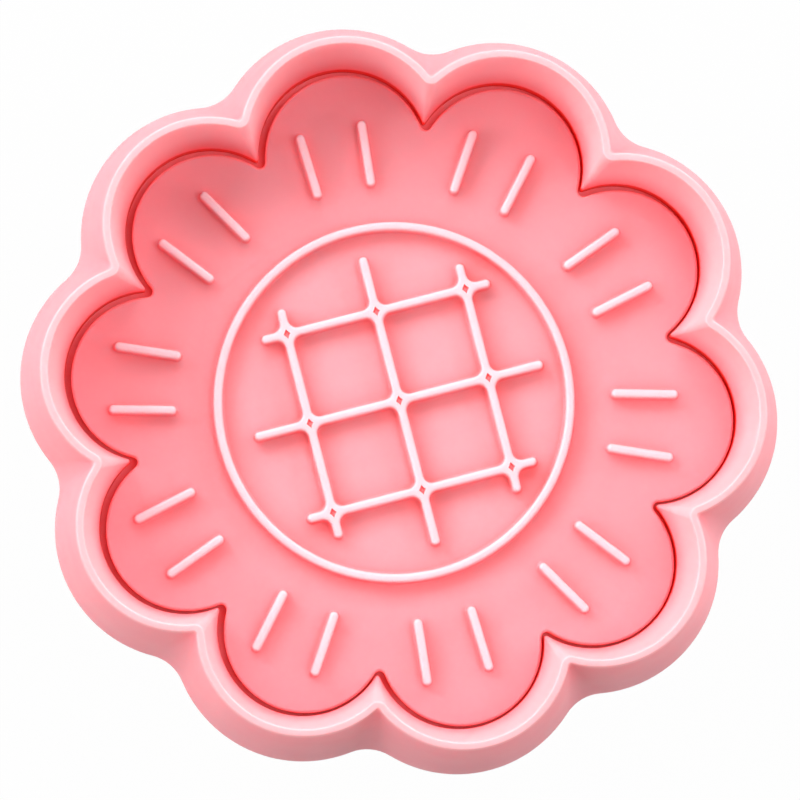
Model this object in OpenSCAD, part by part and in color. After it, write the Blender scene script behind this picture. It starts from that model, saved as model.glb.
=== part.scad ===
// Plunger cookie cutter: a flower-shaped cutter with a sprung stamp plate inside it.
// It stands on its push knob with the cutting rim up. Sizes are in millimetres, +Z is up,
// and the origin is on the axis at the knob's outer face.

/* [Flower outline] */
// Number of petals round the flower
petal_count = 10; // [10:1:14]
// Distance from the axis to the centre of each petal
petal_circle_r = 25; // [23:0.1:26]
// How far each petal of the stamp reaches past the line half way to the next petal
petal_overlap = 0.375; // [0.3:0.005:1.5]
// Rounding of the notches between the stamp's petals
notch_r = 0.6; // [0.5:0.1:2]

/* [Cutter wall] */
// Height of the cutting rim above the stamp's face at rest
rim_depth = 10; // [8:0.5:16]
// Width of the flat land on the cutting rim
rim_land = 0.7; // [0.5:0.1:1.5]
// Rounding of the valleys between the petals, outside at the rim
rim_valley_r = 0.3; // [0.2:0.1:1]
// Rounding of the valleys between the petals, outside at the foot
foot_valley_r = 4.4; // [2:0.1:6]
// Draft of the inner wall, in degrees
inner_draft = 6.8; // [3:0.1:10]
// Draft of the outer wall, in degrees
outer_draft = 11.3; // [6:0.1:15]
// Thickness of the deck behind the stamp
deck_t = 2.4; // [2:0.1:4]
// Rounding of the outer edge of the cutter's back
back_round = 1.4; // [0.6:0.1:2]

/* [Stamp plate] */
// Thickness of the plate
plate_t = 2.2; // [2:0.1:4]
// Gap between the plate's edge and the cutter's wall
stamp_gap = 0.4; // [0.3:0.05:0.8]
// Chamfer round the edges of the plate's face and back
plate_chamfer = 0.3; // [0.1:0.1:0.6]
// Radius of the boss on the plate's back
boss_r = 7; // [6.2:0.1:8]
// Height of the boss
boss_h = 5; // [4.4:0.1:7]
// Depth of the stem's socket in the boss
boss_socket_depth = 3; // [2:0.1:4]

/* [Relief] */
// Height of the ridges above the plate
ridge_h = 1.5; // [0.8:0.1:2]
// Width of a ridge at its top
ridge_w = 0.75; // [0.5:0.05:1.2]
// Draft of the ridges' sides, in degrees
ridge_draft = 6; // [2:0.5:10]
// Radius of the ring, at the middle of its ridge
ring_r = 17.5; // [17:0.1:19]
// How far the ring and the dashes sit off the axis, along X
ring_x = -0.8; // [-1:0.1:1]
// How far the ring and the dashes sit off the axis, along Y
ring_y = -0.3; // [-1:0.1:1]
// How far the lattice sits off the axis, along X
lattice_x = -0.3; // [-1:0.1:1]
// How far the lattice sits off the axis, along Y
lattice_y = -0.3; // [-1:0.1:1]
// Distance between the lattice bars
lattice_pitch = 9.15; // [8:0.05:9.8]
// Turn of the lattice, in degrees
lattice_turn = 1.3; // [-10:0.1:10]
// Length of the lattice's middle bars
middle_bar_l = 29.4; // [26:0.1:31]
// How far the outer bars run past the corner crossings
bar_stub_l = 2.5; // [1.5:0.1:3]
// Fillet in the corners of each crossing
crossing_fillet_r = 0.9; // [0.4:0.1:1.4]
// Width of the pit at each crossing, across its corners
pit_w = 0.7; // [0.4:0.1:0.9]
// Depth of the pit at each crossing
pit_depth = 0.9; // [0.4:0.1:1.2]
// How far the dashes run inwards from the centres of the petals
dash_inward = 3.3; // [2:0.1:4.5]
// How far the dashes run outwards from the centres of the petals
dash_outward = 3.2; // [2:0.1:5]
// Angle between the two dashes of a petal, seen from the ring's centre
dash_pair_angle = 13.5; // [9:0.1:15]
// Angle that a dash leans away from its petal's middle line
dash_splay = 4; // [0:0.5:8]

/* [Plunger] */
// Travel of the plunger
travel = 8; // [5:0.5:8]
// Radius of the stem
stem_r = 4.5; // [4:0.1:4.8]
// Running clearance of the stem in its guide
stem_fit = 0.05; // [0.02:0.01:0.09]
// Clearance between faces that meet at the ends of the travel
stop_gap = 0.2; // [0.1:0.05:0.5]
// Clearance left between the knob and the collar when pressed
press_gap = 0.7; // [0.4:0.1:2]
// Clearance between pieces that pass each other
pass_gap = 0.4; // [0.3:0.1:0.6]
// Clearance of a piece in its socket
seat_fit = 0.05; // [0.02:0.01:0.1]

/* [Guide collar] */
// How far the collar's flange reaches past the knob's side
flange_reach = 0; // [-0.5:0.1:3]
// Thickness of the flange
flange_t = 2; // [1.8:0.1:3]
// Wall of the neck
neck_wall = 2; // [1.4:0.1:2.4]
// Wall of the guide tube
guide_wall = 2; // [1.4:0.1:2.4]
// Length of the guide tube below the spring's seat
guide_l = 6; // [4:0.5:7]
// Thickness of the web that carries the guide tube
web_t = 2; // [1.5:0.1:3]
// Wall of the spigot that centres the collar in the deck
spigot_wall = 2.6; // [1.5:0.1:4]

/* [Knob] */
// Radius of the knob
knob_r = 18; // [17:0.1:20]
// Height of the knob
knob_h = 19.5; // [18:0.5:24]
// Thickness of the knob's end, behind its face
knob_end_t = 5; // [4.8:0.1:7]
// Wall of the knob's skirt at the bottom of the finger groove
skirt_wall = 2; // [1.5:0.1:2.5]
// Radius of the finger groove's section
groove_r = 7; // [5:0.1:9]
// Rounding of the knob's face edge
face_round = 3; // [1:0.1:4]
// Rounding of the skirt's open edge
lip_round = 0.8; // [0.3:0.1:1]
// Wall of the hub round the stem's end
hub_wall = 1.9; // [1.4:0.1:2.2]
// Height of the hub above the knob's inner floor
hub_h = 4; // [3:0.1:4.5]
// Depth of the stem's socket in the hub
hub_socket_depth = 3; // [2:0.1:3.4]

/* [Spring] */
// Diameter of the spring's wire
wire_d = 1.2; // [0.8:0.1:1.3]
// Number of turns
spring_turns = 7; // [6:1:8]
// Gap between the wires of the closed end turns
end_turn_gap = 0.5; // [0.45:0.05:0.6]
// Clearance between the spring and the walls on either side of it
coil_clear = 1.4; // [0.8:0.1:1.8]

/* [Fasteners and cap] */
// Radius of the long screw's shank
screw_r = 1.5; // [1.2:0.1:1.6]
// Radius of the long screw's head
screw_head_r = 2.8; // [2.4:0.1:3]
// Height of the long screw's head
screw_head_h = 1.9; // [1.4:0.1:2]
// Skin left between the long screw's hole and the stamp's face
face_skin = 1; // [0.6:0.1:1.4]
// Radius of the washer
washer_r = 3.5; // [3.3:0.1:3.6]
// Thickness of the washer
washer_t = 0.5; // [0.4:0.1:0.7]
// Radius of the cap in the knob's face
cap_r = 8; // [6.5:0.1:9]
// Thickness of the cap
cap_t = 1.3; // [1:0.1:1.6]
// How far the cap lies below the knob's face
cap_sink = 0.3; // [0.1:0.1:0.5]
// Height of the snap ring on the cap's back
cap_ring_h = 1; // [0.6:0.1:1.2]
// Wall of the snap ring
cap_ring_wall = 0.6; // [0.4:0.1:0.7]
// Number of screws in the collar's flange
collar_screw_count = 4; // [3:1:6]
// Radius of a collar screw's shank
collar_screw_r = 1; // [0.8:0.1:1.1]
// Radius of a collar screw's countersunk head
collar_head_r = 1.8; // [1.6:0.1:2]
// Skin left between a collar screw's tip and the deck's front
deck_skin = 0.4; // [0.3:0.1:0.8]

/* [Hidden] */
$fn = 96;

cut = 0.5;                 // how far a cutting body runs past the face that it cuts
root = 0.3;                // how far a ridge is rooted in the plate
petal_steps = 12;          // straight steps round a petal
valley_steps = 4;          // straight steps round a valley
round_steps = 3;           // steps round the back edge
wall_steps = 3;            // steps up the outer wall
bar_end_steps = 6;         // straight steps round a bar's end
fillet_steps = 4;          // straight steps round a crossing's fillet
ring_steps = 16;           // rings in one turn of the spring
wire_sides = 8;            // sides of the spring's wire

pink = [1, 0.66, 0.7];
pale_pink = [1, 0.76, 0.79];
steel = [0.75, 0.76, 0.78];

petal_angle = 360 / petal_count;

// Heights, from the knob's face up
z_knob_floor = knob_end_t;
z_flange = knob_h + travel + press_gap;
z_back = z_flange + flange_t;
z_deck = z_back + deck_t;
z_plate = z_deck + stop_gap;
z_face = z_plate + plate_t;
z_rim = z_face + rim_depth;
z_boss = z_plate - boss_h;
z_recess = z_boss - stop_gap;
z_seat = z_recess - web_t;
z_guide = z_seat - guide_l;
z_neck = z_knob_floor + travel + press_gap;
z_hub = z_knob_floor + hub_h;
z_stem_low = z_hub - hub_socket_depth;
z_stem_high = z_boss + boss_socket_depth;
z_cap = cap_sink + cap_t;
z_washer = z_cap + stop_gap + screw_head_h;
z_screw_seat = z_washer + washer_t;
z_screw_tip = z_face - face_skin - stop_gap;

// Petal radii of the stamp and the cutter's wall
stamp_petal_r = petal_circle_r * sin(petal_angle / 2) + petal_overlap;
cavity_petal_r = stamp_petal_r + stamp_gap;
rim_inner_r = cavity_petal_r + rim_depth * tan(inner_draft);
rim_outer_r = rim_inner_r + rim_land;
foot_petal_r = rim_outer_r + (z_rim - z_back - back_round) * tan(outer_draft);

// Radii about the axis
guide_r = stem_r + stem_fit;
guide_tube_r = guide_r + guide_wall;
hub_r = stem_r + seat_fit + hub_wall;
recess_r = boss_r + pass_gap;
spigot_r = recess_r + spigot_wall;
coil_r = max(guide_tube_r, hub_r) + coil_clear + wire_d / 2;
neck_in_r = coil_r + wire_d / 2 + coil_clear;
neck_r = neck_in_r + neck_wall;
flange_r = knob_r + flange_reach;
skirt_in_r = neck_r + pass_gap;
groove_floor_r = skirt_in_r + skirt_wall;
groove_z = z_knob_floor + (knob_h - z_knob_floor) / 2;
screw_hole_r = screw_r + seat_fit;
counterbore_r = washer_r + pass_gap;
collar_screw_circle_r = (neck_r + flange_r) / 2;
collar_head_h = collar_head_r - collar_screw_r;
collar_tip_z = z_deck - deck_skin;

// Points on an arc from angle a to angle b, both ends included
function arc(c, r, a, b, steps) =
    [for (i = [0 : steps]) let (t = a + (b - a) * i / steps) c + r * [cos(t), sin(t)]];

function turned(p, a) = [p.x * cos(a) - p.y * sin(a), p.x * sin(a) + p.y * cos(a)];

// The flower's outline: petal arcs of radius r joined by tangent valley arcs of radius v
function flower(r, v) =
    let (half = petal_angle / 2,
         out = petal_circle_r * cos(half) + sqrt(pow(r + v, 2) - pow(petal_circle_r * sin(half), 2)),
         valley = out * [cos(half), sin(half)],
         middle = [petal_circle_r, 0],
         meet = atan2(valley.y - middle.y, valley.x - middle.x),
         petal = arc(middle, r, -meet, meet, petal_steps),
         dip = arc(valley, v, meet + 180, petal_angle - meet + 180, valley_steps),
         one = concat(petal, [for (i = [1 : valley_steps - 1]) dip[i]]))
    [for (k = [0 : petal_count - 1], p = one) turned(p, half + k * petal_angle)];

// A bar's outline, lying along X from 0 to l, with round ends
function bar(l, w) =
    concat(arc([l - w / 2, 0], w / 2, -90, 90, bar_end_steps),
           arc([w / 2, 0], w / 2, 90, 270, bar_end_steps));

// A crossing's outline: a square with a fillet of radius f cut into each corner
function crossing(w, f) =
    let (corner = w / 2 + f)
    [for (k = [0 : 3], p = arc([corner, corner], f, 270, 180, fillet_steps)) turned(p, k * 90)];

// A solid through outlines with equal numbers of points, each given as [height, points],
// with its first and last outlines as its ends, or joined to each other where it is a ring
module loft(levels, ring = false) {
    n = len(levels[0][1]);
    count = len(levels);
    last = (count - 1) * n;
    ends = [[for (i = [0 : n - 1]) i], [for (i = [n - 1 : -1 : 0]) last + i]];
    sides = [for (k = [0 : ring ? count - 1 : count - 2], i = [0 : n - 1])
             let (j = (i + 1) % n, a = k * n, b = (k + 1) % count * n)
             each [[a + i, b + i, b + j], [a + i, b + j, a + j]]];
    polyhedron([for (l = levels, p = l[1]) [p.x, p.y, l[0]]], ring ? sides : concat(sides, ends));
}

module tube(r_out, r_in, z0, z1) {
    difference() {
        translate([0, 0, z0]) cylinder(r = r_out, h = z1 - z0);
        translate([0, 0, z0 - cut]) cylinder(r = r_in, h = z1 - z0 + 2 * cut);
    }
}

module on_collar_screws() {
    for (k = [0 : collar_screw_count - 1])
        rotate((k + 0.5) * 360 / collar_screw_count)
            translate([collar_screw_circle_r, 0, 0]) children();
}

// A collar screw with a countersunk head, or its hole when grown by a clearance
module collar_screw(grow) {
    translate([0, 0, z_flange]) {
        cylinder(r1 = collar_head_r + grow, r2 = collar_screw_r + grow, h = collar_head_h);
        cylinder(r = collar_screw_r + grow, h = collar_tip_z + grow - z_flange);
    }
}

// The hole, which opens past the flange's face
module collar_screw_hole() {
    collar_screw(seat_fit);
    translate([0, 0, z_flange - cut]) cylinder(r = collar_head_r + seat_fit, h = cut);
}

// The cutter: one skin that runs up the outer wall, over the rim and down to the deck,
// with a hole in the deck for the collar's spigot
module cutter_shell() {
    z_foot = z_back + back_round;
    back_levels = [for (i = [0 : round_steps - 1]) let (t = 90 * i / round_steps)
        [z_foot - back_round * cos(t),
         flower(foot_petal_r - back_round * (1 - sin(t)), foot_valley_r)]];
    wall_levels = [for (i = [0 : wall_steps]) let (t = i / wall_steps)
        [z_foot + (z_rim - z_foot) * t,
         flower(foot_petal_r + (rim_outer_r - foot_petal_r) * t,
                foot_valley_r + (rim_valley_r - foot_valley_r) * t)]];
    cavity_levels = [[z_rim, flower(rim_inner_r, rim_valley_r + rim_land)],
                     [z_face, flower(cavity_petal_r, notch_r)],
                     [z_deck, flower(cavity_petal_r, notch_r)]];
    color(pink) difference() {
        loft(concat(back_levels, wall_levels, cavity_levels));
        translate([0, 0, z_back - cut]) cylinder(r = spigot_r + seat_fit, h = deck_t + 2 * cut);
        on_collar_screws() collar_screw_hole();
    }
}

// The collar: flange and spigot on the deck, guide tube for the stem, neck round the spring
module guide_collar() {
    color(pink) difference() {
        rotate_extrude() polygon([
            [guide_r, z_guide], [guide_tube_r, z_guide], [guide_tube_r, z_seat], [neck_in_r, z_seat],
            [neck_in_r, z_neck], [neck_r, z_neck], [neck_r, z_flange], [flange_r, z_flange],
            [flange_r, z_back], [spigot_r, z_back], [spigot_r, z_deck - stop_gap],
            [recess_r, z_deck - stop_gap], [recess_r, z_recess], [guide_r, z_recess]]);
        on_collar_screws() collar_screw_hole();
    }
}

module collar_screws() {
    color(steel) on_collar_screws() collar_screw(0);
}

// The spring's centre line: closed end turns, with an even pitch between them
spring_low = z_knob_floor + stop_gap / 2 + wire_d / 2;
spring_high = z_seat - stop_gap / 2 - wire_d / 2;
end_pitch = wire_d + end_turn_gap;
free_pitch = (spring_high - spring_low - 2 * end_pitch) / (spring_turns - 2);
function spring_z(t) =
    spring_low + end_pitch * min(t, 1) + free_pitch * min(max(t - 1, 0), spring_turns - 2)
    + end_pitch * max(t - spring_turns + 1, 0);
spring_line = [for (i = [0 : spring_turns * ring_steps]) let (t = i / ring_steps)
    [coil_r * cos(t * 360), coil_r * sin(t * 360), spring_z(t)]];
spring_end = len(spring_line) - 1;
spring_least_gap = min([for (i = [0 : spring_end], j = [i + ring_steps / 2 : 1 : spring_end])
    norm(spring_line[i] - spring_line[j]) - wire_d]);
echo(spring_least_gap = spring_least_gap);

module return_spring() {
    rings = [for (i = [0 : spring_end], s = [0 : wire_sides - 1])
        let (a = i / ring_steps * 360, b = s * 360 / wire_sides, r = wire_d / 2 * cos(b))
        spring_line[i] + [r * cos(a), r * sin(a), wire_d / 2 * sin(b)]];
    sides = [for (k = [0 : spring_end - 1], s = [0 : wire_sides - 1])
        let (n = (s + 1) % wire_sides, a = k * wire_sides, b = a + wire_sides)
        each [[a + s, a + n, b + n], [a + s, b + n, b + s]]];
    color(steel) polyhedron(rings, concat(sides,
        [[for (s = [wire_sides - 1 : -1 : 0]) s]],
        [[for (s = [0 : wire_sides - 1]) spring_end * wire_sides + s]]));
}

// Ridges with drafted sides, rooted in the plate
ridge_grow = (ridge_h + root) * tan(ridge_draft);
ridge_foot_w = ridge_w + 2 * ridge_grow;

module ridge_bar(l) {
    foot = [for (p = bar(l + 2 * ridge_grow, ridge_foot_w)) p - [ridge_grow, 0]];
    loft([[z_face - root, foot], [z_face + ridge_h, bar(l, ridge_w)]]);
}

module ridge_ring() {
    rotate_extrude() polygon([
        [ring_r - ridge_foot_w / 2, z_face - root], [ring_r + ridge_foot_w / 2, z_face - root],
        [ring_r + ridge_w / 2, z_face + ridge_h], [ring_r - ridge_w / 2, z_face + ridge_h]]);
}

module on_lattice() {
    translate([lattice_x, lattice_y, 0]) rotate(lattice_turn) children();
}

module on_crossings() {
    for (i = [-1 : 1], j = [-1 : 1]) translate([i * lattice_pitch, j * lattice_pitch, 0]) children();
}

module lattice() {
    outer_l = 2 * (lattice_pitch + bar_stub_l);
    for (turn = [0, 90], i = [-1 : 1]) {
        l = i == 0 ? middle_bar_l : outer_l;
        rotate(turn) translate([-l / 2, i * lattice_pitch, 0]) ridge_bar(l);
    }
    on_crossings() translate([0, 0, z_face - root])
        linear_extrude(root + ridge_h) polygon(crossing(ridge_w, crossing_fillet_r));
}

module dashes() {
    l = dash_inward + dash_outward;
    for (k = [0 : petal_count - 1], side = [-1, 1])
        rotate((k + 0.5) * petal_angle + side * dash_pair_angle / 2)
            translate([petal_circle_r + (dash_outward - dash_inward) / 2, 0, 0])
                rotate(side * (dash_splay - dash_pair_angle / 2))
                    translate([-l / 2, 0, 0]) ridge_bar(l);
}

// The plate: a flower with a chamfered band round its edge
module plate() {
    face = flower(stamp_petal_r - plate_chamfer, notch_r + plate_chamfer);
    edge = flower(stamp_petal_r, notch_r);
    inside = flower(stamp_petal_r - 2 * plate_chamfer, notch_r + 2 * plate_chamfer);
    low = z_plate + plate_chamfer;
    high = z_face - plate_chamfer;
    translate([0, 0, z_plate]) linear_extrude(plate_t) polygon(face);
    loft([[z_plate, face], [low, edge], [high, edge], [z_face, face], [high, inside], [low, inside]],
         ring = true);
}

// The stamp: the plate with the relief on its face and a socketed boss on its back
module stamp_plate() {
    color(pale_pink) difference() {
        union() {
            plate();
            translate([0, 0, z_boss]) cylinder(r = boss_r, h = boss_h + root);
            translate([ring_x, ring_y, 0]) {
                ridge_ring();
                dashes();
            }
            on_lattice() lattice();
        }
        on_lattice() on_crossings() translate([0, 0, z_face + ridge_h - pit_depth])
            cylinder(d = pit_w, h = pit_depth + cut, $fn = 4);
        translate([0, 0, z_boss - cut]) cylinder(r = stem_r + seat_fit, h = boss_socket_depth + cut);
        translate([0, 0, z_boss]) cylinder(r = screw_hole_r, h = z_screw_tip + stop_gap - z_boss);
    }
}

module plunger_stem() {
    color(pink) tube(stem_r, screw_hole_r + stop_gap, z_stem_low, z_stem_high);
}

// Half section of the knob's outside: round edges and a finger groove
module knob_outside() {
    difference() {
        union() {
            square([knob_r - face_round, knob_h]);
            translate([knob_r - face_round, face_round]) circle(face_round);
            translate([0, face_round]) square([knob_r, knob_h - face_round - lip_round]);
            translate([0, face_round]) square([knob_r - lip_round, knob_h - face_round]);
            translate([knob_r - lip_round, knob_h - lip_round]) circle(lip_round);
        }
        translate([groove_floor_r + groove_r, groove_z]) circle(groove_r);
    }
}

// The knob: a hollow skirt that slides over the neck, with a hub for the stem's end,
// and a stepped recess in its face for the cap, the screw's head and the washer
module push_knob() {
    color(pink) difference() {
        rotate_extrude() knob_outside();
        tube(skirt_in_r, hub_r, z_knob_floor, z_hub);
        translate([0, 0, z_hub]) cylinder(r = skirt_in_r, h = knob_h);
        translate([0, 0, z_stem_low]) cylinder(r = stem_r + seat_fit, h = knob_h);
        translate([0, 0, z_cap]) cylinder(r = screw_hole_r, h = knob_h);
        translate([0, 0, z_cap]) cylinder(r = counterbore_r, h = z_screw_seat - z_cap);
        translate([0, 0, -cut]) cylinder(r = cap_r + seat_fit, h = z_cap + cut);
    }
}

module plunger_screw() {
    color(steel) {
        translate([0, 0, z_washer - screw_head_h]) cylinder(r = screw_head_r, h = screw_head_h);
        translate([0, 0, z_washer - screw_head_h / 2])
            cylinder(r = screw_r, h = z_screw_tip - z_washer + screw_head_h / 2);
    }
}

module screw_washer() {
    color(steel) tube(washer_r, screw_hole_r, z_washer, z_screw_seat);
}

module knob_cap() {
    color(pink) {
        translate([0, 0, cap_sink]) cylinder(r = cap_r, h = cap_t);
        tube(counterbore_r - seat_fit, counterbore_r - seat_fit - cap_ring_wall,
             cap_sink + cap_t / 2, z_cap + cap_ring_h);
    }
}

cutter_shell();
guide_collar();
collar_screws();
return_spring();
stamp_plate();
plunger_stem();
push_knob();
plunger_screw();
screw_washer();
knob_cap();
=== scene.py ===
import math

import bmesh
import bpy
from mathutils import Matrix, Vector


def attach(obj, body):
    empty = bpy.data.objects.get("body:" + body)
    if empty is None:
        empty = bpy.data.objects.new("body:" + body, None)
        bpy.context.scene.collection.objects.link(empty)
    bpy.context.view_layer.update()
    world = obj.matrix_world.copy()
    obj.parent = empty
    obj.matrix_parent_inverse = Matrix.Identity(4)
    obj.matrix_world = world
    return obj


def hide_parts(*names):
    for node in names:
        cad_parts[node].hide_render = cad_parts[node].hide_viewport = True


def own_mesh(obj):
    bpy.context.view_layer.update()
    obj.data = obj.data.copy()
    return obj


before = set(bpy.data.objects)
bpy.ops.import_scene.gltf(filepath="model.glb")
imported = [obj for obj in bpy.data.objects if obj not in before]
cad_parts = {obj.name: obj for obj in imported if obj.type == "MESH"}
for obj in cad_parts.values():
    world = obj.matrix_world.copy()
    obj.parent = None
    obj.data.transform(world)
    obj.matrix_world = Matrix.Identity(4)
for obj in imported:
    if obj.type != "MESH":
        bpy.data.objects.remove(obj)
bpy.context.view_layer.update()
mm = 0.001
oneSpot = 1e-6  # metres: points this close count as one
print("frame loaded:", ", ".join(sorted(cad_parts)))


# camera: almost straight down into the cutting side, a little from the lower left
shot = {"plan": 227.6, "elevation": 85.8, "upPlan": 76.8, "distance": 420, "lens": 190.0, "sensor": 36,
        "clipStart": 0.01, "aimAcross": -0.11, "aimUp": -0.22, "aimHeight": 35.0}


def towards(plan, elevation):  # unit vector from the part to a place in the studio
    plan, rise = math.radians(plan), math.radians(elevation)
    return Vector((math.cos(rise) * math.cos(plan), math.cos(rise) * math.sin(plan), math.sin(rise)))


def makeCamera():
    back = towards(shot["plan"], shot["elevation"])
    up = math.radians(shot["upPlan"])
    right = Vector((math.cos(up), math.sin(up), 0)).cross(back).normalized()
    top = back.cross(right)
    aim = Vector((0, 0, shot["aimHeight"])) + right * shot["aimAcross"] + top * shot["aimUp"]
    bpy.ops.object.camera_add(location=(aim + back * shot["distance"]) * mm)
    camera = bpy.context.object
    camera.name = "photoCamera"
    camera.rotation_euler = Matrix((right, top, back)).transposed().to_euler()
    camera.data.lens = shot["lens"]
    camera.data.sensor_width = shot["sensor"]
    camera.data.clip_start = shot["clipStart"]
    bpy.context.scene.camera = camera


makeCamera()
bpy.context.scene.view_settings.view_transform = "Standard"
print("camera set")


# modelling helpers
def only(obj):  # the next operators act on this object alone
    bpy.ops.object.select_all(action="DESELECT")
    obj.select_set(True)
    bpy.context.view_layer.objects.active = obj


def setRing(mesh, order, height, outline):
    bm = bmesh.from_edit_mesh(mesh)
    bm.verts.ensure_lookup_table()
    for index, (x, y) in zip(order, outline):
        bm.verts[index].co = (x * mm, y * mm, height * mm)
    bmesh.update_edit_mesh(mesh)


def ringAbove(mesh, order):  # the ring that an extrude has just made, in the same order
    bm = bmesh.from_edit_mesh(mesh)
    bm.verts.index_update()
    bm.verts.ensure_lookup_table()
    found = []
    for index in order:
        vert = bm.verts[index]
        found.append(next(e.other_vert(vert).index for e in vert.link_edges if e.other_vert(vert).select))
    return found


def pickVerts(mesh, wanted):
    bpy.ops.mesh.select_all(action="DESELECT")
    bm = bmesh.from_edit_mesh(mesh)
    bm.verts.ensure_lookup_table()
    for index in wanted:
        bm.verts[index].select = True
    bm.select_flush(True)
    bmesh.update_edit_mesh(mesh)


def pickOpenEdges(mesh, height):  # the open edges that lie at one height
    bpy.ops.mesh.select_all(action="DESELECT")
    bm = bmesh.from_edit_mesh(mesh)
    for edge in bm.edges:
        level = all(abs(v.co.z - height * mm) < oneSpot for v in edge.verts)
        edge.select = level and len(edge.link_faces) < 2
    bm.select_flush(False)
    for edge in bm.edges:
        if edge.select:
            for vert in edge.verts:
                vert.select = True
    bmesh.update_edit_mesh(mesh)


def raiseSkin(name, rings, ends=""):
    # a circle is extruded ring by ring, and each ring is set to its own outline
    bpy.ops.object.select_all(action="DESELECT")
    bpy.ops.mesh.primitive_circle_add(vertices=len(rings[0][1]), radius=mm, location=(0, 0, 0))
    obj = bpy.context.object
    obj.name = obj.data.name = name
    bpy.ops.object.mode_set(mode="EDIT")
    bpy.ops.mesh.select_mode(type="VERT")
    bpy.ops.mesh.select_all(action="SELECT")
    first = order = list(range(len(rings[0][1])))
    setRing(obj.data, order, *rings[0])
    for ring in rings[1:]:
        bpy.ops.mesh.extrude_edges_move()
        order = ringAbove(obj.data, order)
        setRing(obj.data, order, *ring)
    if ends == "joined":
        pickVerts(obj.data, first + order)
        bpy.ops.mesh.bridge_edge_loops()
    if "low" in ends:
        pickVerts(obj.data, first)
        bpy.ops.mesh.edge_face_add()
    if "high" in ends:
        pickVerts(obj.data, order)
        bpy.ops.mesh.edge_face_add()
    bpy.ops.mesh.select_all(action="SELECT")
    bpy.ops.mesh.normals_make_consistent(inside=False)
    bpy.ops.object.mode_set(mode="OBJECT")
    return obj


def joinAll(parts, name):
    bpy.ops.object.select_all(action="DESELECT")
    for part in parts:
        part.select_set(True)
    bpy.context.view_layer.objects.active = parts[0]
    bpy.ops.object.join()
    parts[0].name = parts[0].data.name = name
    return parts[0]


def copyTo(obj, turn, place=(0, 0, 0)):  # a copy with its own mesh, turned about the axis, then moved
    only(obj)
    bpy.ops.object.duplicate(linked=False)
    twin = bpy.context.object
    twin.matrix_world = Matrix.Translation(Vector(place) * mm) @ Matrix.Rotation(turn, 4, "Z")
    bpy.ops.object.transform_apply(location=True, rotation=True, scale=True)
    return twin


def fillAt(obj, height):  # closes the open loops at one height with a flat face round any loops inside it
    only(obj)
    bpy.ops.object.mode_set(mode="EDIT")
    bpy.ops.mesh.select_mode(type="EDGE")
    pickOpenEdges(obj.data, height)
    bpy.ops.mesh.fill(use_beauty=True)
    bpy.ops.mesh.select_all(action="SELECT")
    bpy.ops.mesh.normals_make_consistent(inside=False)
    bpy.ops.object.mode_set(mode="OBJECT")


def cutWith(obj, cutter):
    only(obj)
    cut = obj.modifiers.new("cut", "BOOLEAN")
    cut.operation, cut.solver, cut.object = "DIFFERENCE", "EXACT", cutter
    bpy.ops.object.modifier_apply(modifier="cut")
    bpy.data.objects.remove(cutter)


def smooth(obj, angle=30):
    only(obj)
    bpy.ops.object.shade_smooth_by_angle(angle=math.radians(angle))


def openEdges(obj):
    bm = bmesh.new()
    bm.from_mesh(obj.data)
    count = sum(len(e.link_faces) != 2 for e in bm.edges)
    bm.free()
    return count


def arcSteps(start, end, steps):
    return [start + (end - start) * k / steps for k in range(steps + 1)]


def circleOutline(radius, count, centre=(0, 0)):
    turns = [2 * math.pi * k / count for k in range(count)]
    return [(centre[0] + radius * math.cos(t), centre[1] + radius * math.sin(t)) for t in turns]


def roundCorners(corners, steps=5):  # corners are (x, y, radius) round a closed outline
    points = []
    for k, (x, y, radius) in enumerate(corners):
        here = Vector((x, y))
        if radius <= 0:
            points.append((x, y))
            continue
        toLast = (Vector(corners[k - 1][:2]) - here).normalized()
        toNext = (Vector(corners[(k + 1) % len(corners)][:2]) - here).normalized()
        half = toLast.angle(toNext) / 2
        centre = here + (toLast + toNext).normalized() * radius / math.sin(half)
        start = here + toLast * radius / math.tan(half) - centre
        end = here + toNext * radius / math.tan(half) - centre
        a = math.atan2(start.y, start.x)
        b = a + math.remainder(math.atan2(end.y, end.x) - a, 2 * math.pi)
        points += [(centre.x + radius * math.cos(t), centre.y + radius * math.sin(t))
                   for t in arcSteps(a, b, steps)]
    return points


def turnPiece(name, corners, sides, steps=5):  # turned from its (radius, height, rounding) corners
    profile = roundCorners(corners, steps)
    return raiseSkin(name, [(z, circleOutline(r, sides)) for r, z in profile], "joined")


# the flower outline that the cutter and the stamp share
flower = {"petals": 10, "circleR": 25.0, "petalSteps": 32, "valleySteps": 8}


def flowerOutline(petalR, valleyR):
    half = math.pi / flower["petals"]
    ring = flower["circleR"]
    out = ring * math.cos(half) + math.sqrt((petalR + valleyR) ** 2 - (ring * math.sin(half)) ** 2)
    valley = (out * math.cos(half), out * math.sin(half))
    meet = math.atan2(valley[1], valley[0] - ring)
    one = [(ring + petalR * math.cos(t), petalR * math.sin(t))
           for t in arcSteps(-meet, meet, flower["petalSteps"])]
    dip = arcSteps(meet + math.pi, 2 * half - meet + math.pi, flower["valleySteps"])[1:-1]
    one += [(valley[0] + valleyR * math.cos(t), valley[1] + valleyR * math.sin(t)) for t in dip]
    points = []
    for k in range(flower["petals"]):
        c, s = math.cos(half * (2 * k + 1)), math.sin(half * (2 * k + 1))
        points += [(x * c - y * s, x * s + y * c) for x, y in one]
    return points


def circleUnder(outline, radius):  # a circle whose points lie on the same rays as the outline's
    return [(x * radius / math.hypot(x, y), y * radius / math.hypot(x, y)) for x, y in outline]


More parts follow.
